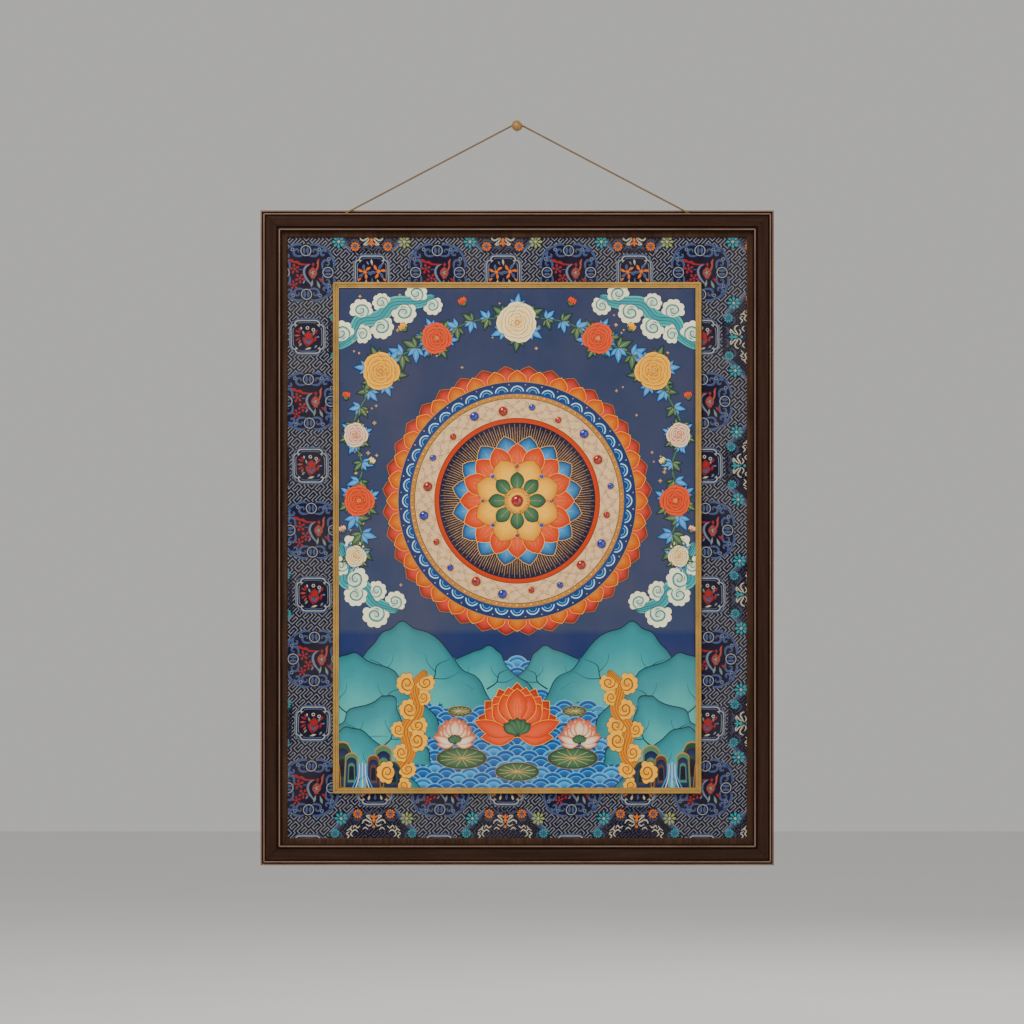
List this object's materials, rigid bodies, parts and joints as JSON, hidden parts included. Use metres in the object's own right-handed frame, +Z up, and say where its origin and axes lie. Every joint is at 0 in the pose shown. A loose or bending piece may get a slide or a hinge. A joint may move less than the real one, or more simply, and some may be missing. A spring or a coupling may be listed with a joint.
{
  "type": "framed thangka painting with hanging cord and wall peg",
  "caption": "Painted cotton panel with a gilt fillet on patterned navy brocade, in a dark beaded wooden frame, hung by a taut tan cord over a slanting brass wall peg.",
  "frame": {"origin": "middle of the peg's foot, on the wall plane", "axes": "+Z up, +X to the viewer's right, +Y into the wall"},
  "size_m": [0.61, 0.029, 0.8845],
  "materials": {
    "dark_wood": "dark stained, satin, copper-coloured rubbed beads",
    "slip_wood": "red-brown stained",
    "gilt": "old gilt over reeded wood",
    "brocade": "woven silk brocade",
    "canvas": "matt paint on sized cotton",
    "board": "plain board",
    "peg_brass": "aged",
    "tan_cord": "twisted"
  },
  "bodies": {
    "root": {"wall_peg": "peg_brass", "hanging_cord": "tan_cord", "rail_top": "dark_wood", "rail_right": "dark_wood", "rail_bottom": "dark_wood", "rail_left": "dark_wood", "slip_top": "slip_wood", "slip_right": "slip_wood", "slip_bottom": "slip_wood", "slip_left": "slip_wood", "fillet_top": "gilt", "fillet_right": "gilt", "fillet_bottom": "gilt", "fillet_left": "gilt", "backing_board": "board", "brocade_mount": "brocade", "painted_canvas": "canvas"}
  },
  "joints": []
}
